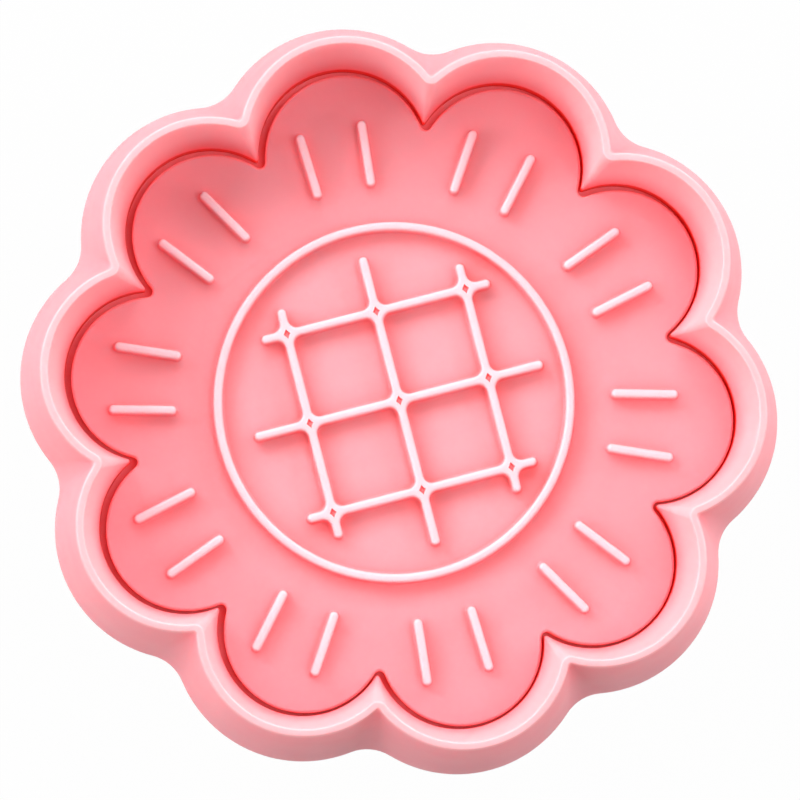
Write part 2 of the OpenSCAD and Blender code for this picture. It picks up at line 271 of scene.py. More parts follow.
# cutter: one skin up the outer wall, over the rounded rim and down to the deck
cutter = {"zBack": 30.2, "zDeck": 32.6, "zFace": 35.0, "zRim": 45.0, "holeR": 10.05,
          "cavityR": 8.55, "notchR": 0.2, "rimLand": 0.7, "rimValleyR": 0.3, "footValleyR": 4.4,
          "innerDraft": 6.52, "outerDraft": 11.3, "backRound": 1.4, "rimRound": 0.16,
          "backSteps": 8, "wallSteps": 14, "rimSteps": 5, "innerSteps": 8}


def makeCutter():
    c = cutter
    tanIn, tanOut = math.tan(math.radians(c["innerDraft"])), math.tan(math.radians(c["outerDraft"]))
    rimIn = c["cavityR"] + (c["zRim"] - c["zFace"]) * tanIn
    rimOut = rimIn + c["rimLand"]
    zFoot = c["zBack"] + c["backRound"]
    footR = rimOut + (c["zRim"] - zFoot) * tanOut

    def outerValley(z):
        return c["rimValleyR"] + (c["footValleyR"] - c["rimValleyR"]) * (c["zRim"] - z) / (c["zRim"] - zFoot)

    def innerValley(z):
        rimValley = c["rimValleyR"] + c["rimLand"]
        return c["notchR"] + (rimValley - c["notchR"]) * (z - c["zFace"]) / (c["zRim"] - c["zFace"])

    rings = []
    for t in arcSteps(0, math.pi / 2, c["backSteps"])[:-1]:
        rings.append((zFoot - c["backRound"] * math.cos(t),
                      flowerOutline(footR - c["backRound"] * (1 - math.sin(t)), c["footValleyR"])))
    rings.insert(0, (c["zBack"], circleUnder(rings[0][1], c["holeR"])))

    # outer wall, then the rim's outer rounding, which starts square to the wall
    f = c["rimRound"]
    tilt = math.radians(c["outerDraft"])
    zEdge = c["zRim"] - f + f * math.sin(tilt)
    for z in arcSteps(zFoot, zEdge, c["wallSteps"])[:-1]:
        rings.append((z, flowerOutline(rimOut + (c["zRim"] - z) * tanOut, outerValley(z))))
    middle = f * math.cos(tilt) - f * (1 - math.sin(tilt)) * tanOut
    for t in arcSteps(tilt, math.pi / 2, c["rimSteps"]):
        z = c["zRim"] - f + f * math.sin(t)
        inset = middle - f * math.cos(t)
        rings.append((z, flowerOutline(rimOut - inset, outerValley(z) + inset + (c["zRim"] - z) * tanOut)))

    # the rim's inner rounding, then the inner wall down to the deck
    tilt = math.radians(c["innerDraft"])
    zEdge = c["zRim"] - f + f * math.sin(tilt)
    middle = f * math.cos(tilt) - f * (1 - math.sin(tilt)) * tanIn
    for t in arcSteps(math.pi / 2, tilt, c["rimSteps"]):
        z = c["zRim"] - f + f * math.sin(t)
        inset = middle - f * math.cos(t)
        rings.append((z, flowerOutline(rimIn + inset, innerValley(z) - inset - (c["zRim"] - z) * tanIn)))
    for z in arcSteps(zEdge, c["zFace"], c["innerSteps"])[1:]:
        rings.append((z, flowerOutline(rimIn - (c["zRim"] - z) * tanIn, innerValley(z))))
    floor = flowerOutline(c["cavityR"], c["notchR"])
    rings.append((c["zDeck"], floor))
    rings.append((c["zDeck"], circleUnder(floor, c["holeR"])))
    return raiseSkin("cutterShell", rings, "joined")


cutterShell = makeCutter()
smooth(cutterShell)
print("cutter made:", len(cutterShell.data.polygons), "faces,", openEdges(cutterShell), "open edges")


# stamp: plate with a boss, and ridges with rounded tops and flared roots
stamp = {"zBoss": 27.8, "zSocket": 30.8, "zPlate": 32.8, "zFace": 35.0, "socketR": 4.55, "bossR": 7.0,
         "petalR": 8.05, "notchR": 0.6, "edgeRound": 0.3, "edgeSteps": 4,
         "sit": (0.15, -0.2)}  # how far the plate sits off the axis in its play
ridge = {"height": 1.5, "width": 0.75, "draft": 6, "topRound": 0.28, "rootRound": 0.2,
         "rootSteps": 4, "topSteps": 5}
ringRidge = {"radius": 17.5, "centre": (-0.8, -0.3), "sides": 192}
dash = {"inR": 21.7, "outR": 28.2, "pairAngle": 13.5, "splay": 4, "endSteps": 8}
lattice = {"centre": (-0.3, -0.3), "pitch": 9.15, "turn": 1.3, "middleL": 29.4, "stubL": 2.5, "filletR": 0.9,
           "tipShare": 0.96}
pit = {"halfAcross": 0.36, "halfAlong": 0.5, "depth": 0.3, "floorShare": 0.55}


def ridgeSection():  # (height above the plate, growth of the half width), from the root to the top
    slope = math.tan(math.radians(ridge["draft"]))
    root, top, height = ridge["rootRound"], ridge["topRound"], ridge["height"]
    foot = (height - root) * slope + root
    section = [(root * (1 - math.cos(t)), foot - root * math.sin(t))
               for t in arcSteps(0, math.pi / 2, ridge["rootSteps"])]
    section += [(height - top + top * math.sin(t), top * slope - top * (1 - math.cos(t)))
                for t in arcSteps(0, math.pi / 2, ridge["topSteps"])]
    return section


def barOutline(length, radius, middle):  # a bar with round ends, centred on the axis
    reach = length / 2 - middle
    right = [(reach + radius * math.cos(t), radius * math.sin(t))
             for t in arcSteps(-math.pi / 2, math.pi / 2, dash["endSteps"])]
    return right + [(-x, -y) for x, y in right]


def onLattice(points):  # turned and moved to the lattice's place on the plate
    c, s = math.cos(math.radians(lattice["turn"])), math.sin(math.radians(lattice["turn"]))
    x0, y0 = lattice["centre"]
    return [(x0 + x * c - y * s, y0 + x * s + y * c) for x, y in points]


def latticeOutline(grow):  # the outer edge of the whole lattice, with filleted corners and round bar ends
    half = ridge["width"] / 2 + grow
    pitch = lattice["pitch"]
    tip = half * lattice["tipShare"]
    fillet = lattice["filletR"] - grow
    middle = lattice["middleL"] / 2 + grow
    stub = pitch + lattice["stubL"] + grow
    near, far = pitch - half, pitch + half
    quarter = [(middle, half, tip), (far, half, fillet), (far, near, fillet), (stub, near, tip),
               (stub, far, tip), (far, far, fillet), (far, stub, tip), (near, stub, tip),
               (near, far, fillet), (half, far, fillet), (half, middle, tip)]
    corners = list(quarter)
    for _ in range(3):
        quarter = [(-y, x, r) for x, y, r in quarter]
        corners += quarter
    return onLattice(roundCorners(corners))


def cellOutline(grow, column, row):  # one of the lattice's four openings
    half = ridge["width"] / 2 + grow
    low, high = half, lattice["pitch"] - half
    fillet = lattice["filletR"] - grow
    shift = Vector((column * lattice["pitch"], row * lattice["pitch"]))
    square = [(low, low), (high, low), (high, high), (low, high)]
    corners = [(x + shift.x, y + shift.y, fillet) for x, y in square]
    return onLattice(roundCorners(corners))


def pitOutline(share, column, row):
    x, y = column * lattice["pitch"], row * lattice["pitch"]
    a, b = pit["halfAcross"] * share, pit["halfAlong"] * share
    return onLattice([(x + a, y), (x, y + b), (x - a, y), (x, y - b)])


def makeStamp():
    s = stamp
    edge = s["edgeRound"]
    around = flowerOutline(s["petalR"] - edge, s["notchR"] + edge)
    rings = []
    for z, radius in ((s["zSocket"], s["socketR"]), (s["zBoss"], s["socketR"]),
                      (s["zBoss"], s["bossR"]), (s["zPlate"], s["bossR"])):
        rings.append((z, circleUnder(around, radius)))
    turns = arcSteps(0, math.pi / 2, s["edgeSteps"])
    curve = [(s["zPlate"], t) for t in turns]
    curve += [(s["zFace"] - 2 * edge, math.pi - t) for t in reversed(turns)]
    sitX, sitY = s["sit"]
    for z, t in curve:
        inset = edge * (1 - math.sin(t))
        outline = flowerOutline(s["petalR"] - inset, s["notchR"] + inset)
        rings.append((z + edge * (1 - math.cos(t)), [(x + sitX, y + sitY) for x, y in outline]))
    parts = [raiseSkin("stampPlate", rings, "low")]

    section = [(s["zFace"] + z, grow) for z, grow in ridgeSection()]
    half = ridge["width"] / 2
    r, sides, centre = ringRidge["radius"], ringRidge["sides"], ringRidge["centre"]
    hoop = [(z, circleOutline(r + half + grow, sides, centre)) for z, grow in section]
    hoop += [(z, circleOutline(r - half - grow, sides, centre)) for z, grow in reversed(section)]
    parts.append(raiseSkin("ring", hoop))

    length = dash["outR"] - dash["inR"]
    bar = raiseSkin("dash", [(z, barOutline(length, half + grow, half)) for z, grow in section], "high")
    middle = (dash["inR"] + dash["outR"]) / 2
    for k in range(flower["petals"]):
        for side in (-1, 1):
            petal = math.radians(360 / flower["petals"] * (k + 0.5))
            place = petal + side * math.radians(dash["pairAngle"] / 2)
            spot = (centre[0] + middle * math.cos(place), centre[1] + middle * math.sin(place), 0)
            parts.append(copyTo(bar, petal + side * math.radians(dash["splay"]), spot))
    bpy.data.objects.remove(bar)

    top = s["zFace"] + ridge["height"]
    parts.append(raiseSkin("latticeEdge", [(z, latticeOutline(grow)) for z, grow in section]))
    for column in (-1, 0):
        for row in (-1, 0):
            parts.append(raiseSkin("cell", [(z, cellOutline(grow, column, row)) for z, grow in section]))
    for column in (-1, 0, 1):
        for row in (-1, 0, 1):
            floor = (top - pit["depth"], pitOutline(pit["floorShare"], column, row))
            parts.append(raiseSkin("pit", [(top, pitOutline(1, column, row)), floor], "high"))
    made = joinAll(parts, "stampPlate")
    fillAt(made, top)
    fillAt(made, s["zFace"])
    return made


stampPlate = makeStamp()
smooth(stampPlate)
print("stamp made:", len(stampPlate.data.polygons), "faces,", openEdges(stampPlate), "open edges")


# collar on the back of the deck: flange, neck, guide tube and spigot
collar = {"guideR": 4.55, "tubeR": 6.55, "neckInR": 10.55, "neckR": 12.55, "flangeR": 18.0, "spigotR": 10.0,
          "recessR": 7.4, "zNeck": 13.7, "zGuide": 19.6, "zSeat": 25.6, "zRecess": 27.6, "zFlange": 28.2,
          "zBack": 30.2, "zTop": 32.4, "guideRound": 0.25, "tubeRound": 0.3, "seatRound": 0.4,
          "neckRound": 0.5, "flangeFillet": 0.8, "flangeRound": 0.5, "backRound": 0.15,
          "spigotRoot": 0.1, "spigotRound": 0.2, "sides": 128}
collarScrew = {"count": 4, "circleR": 15.275, "headR": 1.8, "shankR": 1.0, "zHead": 28.2, "zTip": 32.2,
               "fit": 0.05, "sink": 0.04, "overrun": 1.0, "pointH": 0.3, "pointIn": 0.25, "sides": 48,
               "rim": ((0, 0.08), (0.02, 0.03), (0.07, 0.02)),  # rise, inset
               "crossArm": 1.05, "crossHalf": 0.2, "crossDepth": 0.8}
crossRecess = {"round": 0.08, "steps": 2,
               "levels": ((0, 1), (0.45, 0.8), (1, 0.45))}  # share of the depth, share of the size


def atScrews(obj):
    copies = []
    for k in range(collarScrew["count"]):
        turn = 2 * math.pi * (k + 0.5) / collarScrew["count"]
        reach = collarScrew["circleR"]
        copies.append(copyTo(obj, turn, (reach * math.cos(turn), reach * math.sin(turn), 0)))
    bpy.data.objects.remove(obj)
    return copies


def makeCollar():
    c = collar
    made = turnPiece("guideCollar", [
        (c["guideR"], c["zGuide"], c["guideRound"]), (c["tubeR"], c["zGuide"], c["tubeRound"]),
        (c["tubeR"], c["zSeat"], c["seatRound"]), (c["neckInR"], c["zSeat"], c["seatRound"]),
        (c["neckInR"], c["zNeck"], c["tubeRound"]), (c["neckR"], c["zNeck"], c["neckRound"]),
        (c["neckR"], c["zFlange"], c["flangeFillet"]), (c["flangeR"], c["zFlange"], c["flangeRound"]),
        (c["flangeR"], c["zBack"], c["backRound"]), (c["spigotR"], c["zBack"], c["spigotRoot"]),
        (c["spigotR"], c["zTop"], c["spigotRound"]), (c["recessR"], c["zTop"], c["spigotRound"]),
        (c["recessR"], c["zRecess"], c["tubeRound"]), (c["guideR"], c["zRecess"], c["guideRound"])],
        c["sides"])
    s = collarScrew
    hole = [(s["zHead"] - s["overrun"], s["headR"]), (s["zHead"], s["headR"]),
            (s["zHead"] + s["headR"] - s["shankR"], s["shankR"]), (s["zTip"] + s["overrun"], s["shankR"])]
    drill = raiseSkin("drill", [(z, circleOutline(r + s["fit"], s["sides"])) for z, r in hole], "low high")
    cutWith(made, joinAll(atScrews(drill), "drills"))
    return made


def crossOutline(arm, half, share):
    quarter = [(arm * share, half * share), (half * share, half * share), (half * share, arm * share)]
    corners = []
    for _ in range(4):
        corners += [(x, y, crossRecess["round"] * share) for x, y in quarter]
        quarter = [(-y, x) for x, y in quarter]
    return roundCorners(corners, crossRecess["steps"])


def makeScrew(name, body, spec):  # a turned body whose open head is closed round a cross recess
    zHead = body[0][0]
    arm, half, depth = spec["crossArm"], spec["crossHalf"], spec["crossDepth"]
    blank = raiseSkin(name, [(z, circleOutline(r, spec["sides"])) for z, r in body], "high")
    levels = [(zHead + depth * down, crossOutline(arm, half, share)) for down, share in crossRecess["levels"]]
    recess = raiseSkin("recess", levels, "high")
    made = joinAll([blank, recess], name)
    fillAt(made, zHead)
    return made


def makeCollarScrews():
    s = collarScrew
    z, head, shank = s["zHead"] + s["sink"], s["headR"], s["shankR"]
    body = [(z + rise, head - inset) for rise, inset in s["rim"]]
    body += [(body[-1][0] + head - shank, shank), (s["zTip"] - s["pointH"], shank),
             (s["zTip"], shank - s["pointIn"])]
    return joinAll(atScrews(makeScrew("collarScrew", body, s)), "collarScrews")


guideCollar = makeCollar()
smooth(guideCollar)
collarScrews = makeCollarScrews()
smooth(collarScrews)
print("collar made:", openEdges(guideCollar), "open edges, screws:", openEdges(collarScrews))


# knob with a finger groove, a hub for the stem and a stepped recess in its face
knob = {"radius": 18.0, "height": 19.5, "faceRound": 3.0, "lipRound": 0.8, "grooveR": 7.0, "grooveZ": 12.25,
        "grooveFloorR": 14.95, "grooveEdge": 0.9, "skirtInR": 12.95, "zFloor": 5.0, "hubR": 6.45, "zHub": 9.0,
        "socketR": 4.55, "zSocket": 6.0, "holeR": 1.55, "zSeat": 4.2, "boreR": 3.9, "zCap": 1.6, "capR": 8.05,
        "mouthRound": 0.3, "skirtRound": 0.4, "floorRound": 0.5, "socketRound": 0.2, "stepRound": 0.1,
        "capRound": 0.15, "grooveSteps": 20, "roundSteps": 8, "sides": 160}
cap = {"radius": 8.0, "zOut": 0.3, "zIn": 1.6, "edge": 0.25, "chamfer": 0.15, "coreR": 0.6, "flatEdge": 1.5,
       "ringR": 3.85, "ringWall": 0.6, "ringH": 1.0, "ringOut": 0.2, "ringIn": 0.1, "edgeSteps": 5,
       "sides": 128}


def makeKnob():
    k = knob
    middle = k["grooveFloorR"] + k["grooveR"]
    spread = math.acos((middle - k["radius"]) / k["grooveR"])
    groove = [(middle - k["grooveR"] * math.cos(t), k["grooveZ"] + k["grooveR"] * math.sin(t), 0)
              for t in arcSteps(-spread, spread, k["grooveSteps"])]
    groove[0] = (*groove[0][:2], k["grooveEdge"])
    groove[-1] = (*groove[-1][:2], k["grooveEdge"])
    return turnPiece("pushKnob", [
        (k["capR"], 0, k["mouthRound"]), (k["radius"], 0, k["faceRound"]), *groove,
        (k["radius"], k["height"], k["lipRound"]), (k["skirtInR"], k["height"], k["skirtRound"]),
        (k["skirtInR"], k["zFloor"], k["floorRound"]), (k["hubR"], k["zFloor"], k["floorRound"]),
        (k["hubR"], k["zHub"], k["skirtRound"]), (k["socketR"], k["zHub"], k["socketRound"]),
        (k["socketR"], k["zSocket"], k["stepRound"]), (k["holeR"], k["zSocket"], k["stepRound"]),
        (k["holeR"], k["zSeat"], k["stepRound"]), (k["boreR"], k["zSeat"], k["stepRound"]),
        (k["boreR"], k["zCap"], k["capRound"]), (k["capR"], k["zCap"], k["capRound"])],
        k["sides"], k["roundSteps"])


def makeCap():
    c = cap
    e, chamfer = c["edge"], c["chamfer"]
    inner = c["ringR"] - c["ringWall"]
    top = c["zIn"] + c["ringH"]
    profile = [(c["coreR"], c["zOut"]), (c["radius"] - c["flatEdge"], c["zOut"])]
    profile += [(c["radius"] - e + e * math.sin(t), c["zOut"] + e - e * math.cos(t))
                for t in arcSteps(0, math.pi / 2, c["edgeSteps"])]
    profile += [(c["radius"], c["zIn"] - chamfer), (c["radius"] - chamfer, c["zIn"]), (c["ringR"], c["zIn"]),
                (c["ringR"], top - c["ringOut"]), (c["ringR"] - chamfer, top), (inner + c["ringIn"], top),
                (inner, top - c["ringIn"]), (inner, c["zIn"]), (c["coreR"], c["zIn"])]
    return raiseSkin("knobCap", [(z, circleOutline(r, c["sides"])) for r, z in profile], "low high")


pushKnob = makeKnob()
smooth(pushKnob)
knobCap = makeCap()
smooth(knobCap)
print("knob made:", openEdges(pushKnob), "open edges, cap:", openEdges(knobCap))


# stem, long screw and washer inside the plunger
stem = {"radius": 4.5, "boreR": 1.75, "zLow": 6.0, "zHigh": 30.8, "round": 0.3, "boreRound": 0.15,
        "roundSteps": 5, "sides": 96}
longScrew = {"headR": 2.8, "headH": 1.9, "shankR": 1.5, "zHead": 1.8, "zTip": 33.8,
             "headEdge": 0.1, "point": 0.4,
             "dome": ((0, 0.7), (0.08, 0.4), (0.25, 0.17), (0.5, 0.04), (0.8, 0)),  # rise, inset
             "crossArm": 1.5, "crossHalf": 0.3, "crossDepth": 1.3, "sides": 48}
washer = {"radius": 3.5, "boreR": 1.55, "zLow": 3.7, "zHigh": 4.2, "round": 0.12, "boreRound": 0.06,
          "roundSteps": 3, "sides": 64}


def makeTube(name, t):
    return turnPiece(name, [(t["boreR"], t["zLow"], t["boreRound"]), (t["radius"], t["zLow"], t["round"]),
                            (t["radius"], t["zHigh"], t["round"]), (t["boreR"], t["zHigh"], t["boreRound"])],
                     t["sides"], t["roundSteps"])


def makeLongScrew():
    s = longScrew
    head, shank, under = s["headR"], s["shankR"], s["zHead"] + s["headH"]
    body = [(s["zHead"] + rise, head - inset) for rise, inset in s["dome"]]
    body += [(under - s["headEdge"], head), (under, head - s["headEdge"]), (under, shank),
             (s["zTip"] - s["point"], shank), (s["zTip"], shank - s["point"])]
    return makeScrew("plungerScrew", body, s)


plungerStem = makeTube("plungerStem", stem)
plungerScrew = makeLongScrew()
screwWasher = makeTube("screwWasher", washer)
for piece in (plungerStem, plungerScrew, screwWasher):
    smooth(piece)
    print(piece.name, "made:", openEdges(piece), "open edges")


# spring: one round wire with closed, ground end turns
spring = {"coilR": 8.55, "wireR": 0.6, "turns": 7, "zLow": 5.7, "zHigh": 24.9, "endPitch": 1.7,
          "stepsPerTurn": 40, "wireRound": 5, "grind": 0.12, "cutNear": 1e-7, "smoothAngle": 40,
          "travel": 8.0}


def makeSpring():
    s = spring
    free = (s["zHigh"] - s["zLow"] - 2 * s["endPitch"]) / (s["turns"] - 2)
    bpy.ops.curve.primitive_nurbs_path_add()
    obj = bpy.context.object
    obj.name = "returnSpring"
    line = obj.data
    line.splines.clear()
    path = line.splines.new("POLY")
    count = s["turns"] * s["stepsPerTurn"]
    path.points.add(count)
    for k in range(count + 1):
        t = k / s["stepsPerTurn"]
        z = s["zLow"] + s["endPitch"] * min(t, 1) + free * min(max(t - 1, 0), s["turns"] - 2)
        z += s["endPitch"] * max(t - s["turns"] + 1, 0)
        turn = 2 * math.pi * t
        path.points[k].co = (s["coilR"] * math.cos(turn) * mm, s["coilR"] * math.sin(turn) * mm, z * mm, 1)
    line.dimensions = "3D"
    line.bevel_depth = s["wireR"] * mm
    line.bevel_resolution = s["wireRound"]
    line.use_fill_caps = True
    only(obj)
    bpy.ops.object.convert(target="MESH")
    obj = bpy.context.object
    obj.location = (0, 0, 0)
    ground = s["wireR"] - s["grind"]
    for z, up in ((s["zLow"] - ground, -1), (s["zHigh"] + ground, 1)):
        bpy.ops.object.mode_set(mode="EDIT")
        bpy.ops.mesh.select_all(action="SELECT")
        bpy.ops.mesh.remove_doubles(threshold=oneSpot)
        bpy.ops.mesh.bisect(plane_co=(0, 0, z * mm), plane_no=(0, 0, up), clear_outer=True,
                            threshold=s["cutNear"])
        bpy.ops.object.mode_set(mode="OBJECT")
        fillAt(obj, z)
    return obj


returnSpring = makeSpring()
smooth(returnSpring, spring["smoothAngle"])
print("spring made:", len(returnSpring.data.polygons), "faces,", openEdges(returnSpring), "open edges")


# materials: heights and reaches here are in metres, as Object coordinates give them
colourA, colourB, colourOut = 6, 7, 2  # sockets of a Mix node that mixes colours


def newGroup(name, inputs, outputs):
    group = bpy.data.node_groups.new(name, "ShaderNodeTree")
    for label, kind, value in inputs:
        socket = group.interface.new_socket(label, in_out="INPUT", socket_type="NodeSocket" + kind)
        socket.default_value = value
    for label, kind in outputs:
        group.interface.new_socket(label, in_out="OUTPUT", socket_type="NodeSocket" + kind)
    return group, group.nodes.new("NodeGroupInput"), group.nodes.new("NodeGroupOutput")


def wire(tree, source, target):
    tree.links.new(source, target)


def addNode(tree, kind, **settings):
    node = tree.nodes.new("ShaderNode" + kind)
    for key, value in settings.items():
        setattr(node, key, value)
    return node


def rampMask(tree, value, start, end):  # 0 at the start value, 1 at the end value
    ramp = addNode(tree, "MapRange", interpolation_type="SMOOTHSTEP")
    wire(tree, value, ramp.inputs["Value"])
    wire(tree, start, ramp.inputs["From Min"])
    wire(tree, end, ramp.inputs["From Max"])
    return ramp.outputs["Result"]


def timesMask(tree, a, b):
    times = addNode(tree, "Math", operation="MULTIPLY")
    wire(tree, a, times.inputs[0])
    wire(tree, b, times.inputs[1])
    return times.outputs[0]


def mixColours(tree, share, a, b):
    mix = addNode(tree, "Mix", data_type="RGBA")
    wire(tree, share, mix.inputs["Factor"])
    wire(tree, a, mix.inputs[colourA])
    wire(tree, b, mix.inputs[colourB])
    return mix.outputs[colourOut]


innerWall = {"start": -0.05, "full": -0.3}  # how far a face turns to the axis
mottleCloud = {"scale": 90, "detail": 3}


# a colour with a random pale mottle and painted light on top: a pale painted highlight on raised edges, paler
# painted light up inner walls and about the axis, and dark red painted shade low on inner walls
def makeTone():
    group, inside, outside = newGroup("toneWithPaintedLight", [
        ("Colour", "Color", (0.9, 0.4, 0.4, 1)), ("Pale", "Color", (1, 0.8, 0.8, 1)),
        ("Painted Shade", "Color", (0.5, 0.05, 0.05, 1)), ("Edge Low", "Float", 1.0), ("Edge High", "Float", 2.0),
        ("Edge Share", "Float", 1.0), ("Wall Low", "Float", 1.0), ("Wall High", "Float", 2.0),
        ("Painted Shade Low", "Float", -2.0), ("Painted Shade High", "Float", -1.0), ("Middle Near", "Float", 0.01),
        ("Middle Far", "Float", 0.02), ("Middle Share", "Float", 0.0), ("Mottle", "Float", 0.1)],
        [("Colour", "Color")])
    place = addNode(group, "TexCoord")
    split = addNode(group, "SeparateXYZ")
    wire(group, place.outputs["Object"], split.inputs[0])
    height = split.outputs["Z"]

    # inner walls face the axis
    flat = addNode(group, "VectorMath", operation="MULTIPLY")
    wire(group, place.outputs["Object"], flat.inputs[0])
    flat.inputs[1].default_value = (1, 1, 0)
    reach = addNode(group, "VectorMath", operation="LENGTH")
    wire(group, flat.outputs[0], reach.inputs[0])
    away = addNode(group, "VectorMath", operation="NORMALIZE")
    wire(group, flat.outputs[0], away.inputs[0])
    facing = addNode(group, "VectorMath", operation="DOT_PRODUCT")
    wire(group, away.outputs[0], facing.inputs[0])
    wire(group, place.outputs["Normal"], facing.inputs[1])
    innerMask = addNode(group, "MapRange")
    wire(group, facing.outputs["Value"], innerMask.inputs["Value"])
    innerMask.inputs["From Min"].default_value = innerWall["start"]
    innerMask.inputs["From Max"].default_value = innerWall["full"]
    inner = innerMask.outputs["Result"]

    cloud = addNode(group, "TexNoise")
    cloud.inputs["Scale"].default_value = mottleCloud["scale"]
    cloud.inputs["Detail"].default_value = mottleCloud["detail"]
    wire(group, place.outputs["Object"], cloud.inputs["Vector"])
    mottle = timesMask(group, cloud.outputs["Fac"], inside.outputs["Mottle"])
    colour = mixColours(group, mottle, inside.outputs["Colour"], inside.outputs["Pale"])
    # painted light: paler about the axis
    middle = rampMask(group, reach.outputs["Value"],
                      inside.outputs["Middle Far"], inside.outputs["Middle Near"])
    middle = timesMask(group, middle, inside.outputs["Middle Share"])
    colour = mixColours(group, middle, colour, inside.outputs["Pale"])
    # painted highlight: paler on raised edges, above a height
    edge = rampMask(group, height, inside.outputs["Edge Low"], inside.outputs["Edge High"])
    edge = timesMask(group, edge, inside.outputs["Edge Share"])
    colour = mixColours(group, edge, colour, inside.outputs["Pale"])
    # painted light: paler higher up inner walls
    wall = rampMask(group, height, inside.outputs["Wall Low"], inside.outputs["Wall High"])
    colour = mixColours(group, timesMask(group, wall, inner), colour, inside.outputs["Pale"])
    # painted shade: dark red low on inner walls
    paintedShade = rampMask(group, height, inside.outputs["Painted Shade High"], inside.outputs["Painted Shade Low"])
    colour = mixColours(group, timesMask(group, paintedShade, inner), colour, inside.outputs["Painted Shade"])
    wire(group, colour, outside.inputs["Colour"])
    return group


def makeGlow():  # a painted red glow, emitted in a band between two heights, standing in for light that the translucent plastic carries into a gap
    group, inside, outside = newGroup("gapGlow", [
        ("Glow", "Color", (0.5, 0.02, 0.02, 1)), ("Low", "Float", 1.0), ("High", "Float", 2.0),
        ("Fade", "Float", 0.0002)], [("Glow", "Color")])
    place = addNode(group, "TexCoord")
    split = addNode(group, "SeparateXYZ")
    wire(group, place.outputs["Object"], split.inputs[0])
    ends = []
    for label, operation in (("Low", "ADD"), ("High", "SUBTRACT")):
        far = addNode(group, "Math", operation=operation)
        wire(group, inside.outputs[label], far.inputs[0])
        wire(group, inside.outputs["Fade"], far.inputs[1])
        ends.append(rampMask(group, split.outputs["Z"], inside.outputs[label], far.outputs[0]))
    glow = addNode(group, "Mix", data_type="RGBA")
    wire(group, timesMask(group, *ends), glow.inputs["Factor"])
    glow.inputs[colourA].default_value = (0, 0, 0, 1)
    wire(group, inside.outputs["Glow"], glow.inputs[colourB])
    wire(group, glow.outputs[colourOut], outside.inputs["Glow"])
    return group


satin = {"grainDetail": 2, "glossDetail": 4, "glossLow": 0.3, "glossHigh": 0.7}


def makeGrain():  # satin surface: a fine grain and a slow change of gloss
    group, inside, outside = newGroup("satinGrain", [
        ("Grain Scale", "Float", 4000.0), ("Gloss Scale", "Float", 200.0), ("Smooth", "Float", 0.3),
        ("Rough", "Float", 0.4)], [("Roughness", "Float"), ("Height", "Float")])
    place = addNode(group, "TexCoord")
    grain = addNode(group, "TexNoise")
    grain.inputs["Detail"].default_value = satin["grainDetail"]
    wire(group, place.outputs["Object"], grain.inputs["Vector"])
    wire(group, inside.outputs["Grain Scale"], grain.inputs["Scale"])
    gloss = addNode(group, "TexNoise")
    gloss.inputs["Detail"].default_value = satin["glossDetail"]
    wire(group, place.outputs["Object"], gloss.inputs["Vector"])
    wire(group, inside.outputs["Gloss Scale"], gloss.inputs["Scale"])
    ramp = addNode(group, "MapRange")
    wire(group, gloss.outputs["Fac"], ramp.inputs["Value"])
    ramp.inputs["From Min"].default_value = satin["glossLow"]
    ramp.inputs["From Max"].default_value = satin["glossHigh"]
    wire(group, inside.outputs["Smooth"], ramp.inputs["To Min"])
    wire(group, inside.outputs["Rough"], ramp.inputs["To Max"])
    wire(group, ramp.outputs["Result"], outside.inputs["Roughness"])
    wire(group, grain.outputs["Fac"], outside.inputs["Height"])
    return group


toneGroup = makeTone()
glowGroup = makeGlow()
grainGroup = makeGrain()

# pink plastic: its own colour and mottle, and a dark red that is painted shade low on inner walls
pinkPlastic = {"colour": (0.94, 0.27, 0.31, 1), "paintedShade": (0.68, 0.08, 0.065, 1), "mottle": 0.05,
               "smooth": 0.45, "rough": 0.52, "shine": 0.3, "ior": 1.46,
               "grainScale": 5000.0, "glossScale": 260.0, "bump": 0.03, "bumpDepth": 0.0001,
               "subsurface": 0.8, "subsurfaceRadius": (1.0, 0.4, 0.35)}
lightDepth = {"cutter": 0.0018, "stamp": 0.0008, "knob": 0.002}  # how far light spreads inside the plastic
# cutter: a pale painted highlight along the rim, paler painted light up the inner wall, and dark red painted
# shade low on the inner wall by the gap; the pale colour also sets the random mottle
cutterTonesAndPaintedLight = {"Pale": (0.99, 0.49, 0.52, 1), "Edge Low": 0.0438, "Edge High": 0.0452, "Edge Share": 0.85,
               "Wall Low": 0.034, "Wall High": 0.041, "Painted Shade Low": 0.0343, "Painted Shade High": 0.0353}
# stamp: its own colour, a pale painted highlight on the ridge tops and a pool of paler painted light about
# the axis; the pale colour also sets the random mottle
stampTonesAndPaintedLight = {"Colour": (0.97, 0.32, 0.362, 1), "Pale": (0.99, 0.6, 0.65, 1), "Edge Low": 0.0352,
              "Edge High": 0.0364, "Middle Near": 0.012, "Middle Far": 0.024, "Middle Share": 0.1}
knobTones = {"Pale": (0.99, 0.48, 0.53, 1)}
# painted shade: a coral red beside the stamp's ridges, masked by ambient occlusion
stampHollowShade = {"colour": (0.98, 0.16, 0.17, 1), "reach": 0.0028, "open": 0.96, "closed": 0.35, "samples": 8}
# painted red glow: emission from the plate's side in the gap
stampGlow = {"Glow": (0.74, 0.05, 0.04, 1), "Low": 0.0331, "High": 0.035, "Fade": 0.0003}
brightSteel = {"colour": (0.62, 0.63, 0.65, 1), "pale": (0.8, 0.8, 0.82, 1), "mottle": 0.5,
               "smooth": 0.2, "rough": 0.36, "grainScale": 3000.0, "glossScale": 900.0,
               "bump": 0.05, "bumpDepth": 0.00005}


def placeGroup(tree, group, values):
    node = tree.nodes.new("ShaderNodeGroup")
    node.node_tree = group
    for key, value in values.items():
        node.inputs[key].default_value = value
    return node


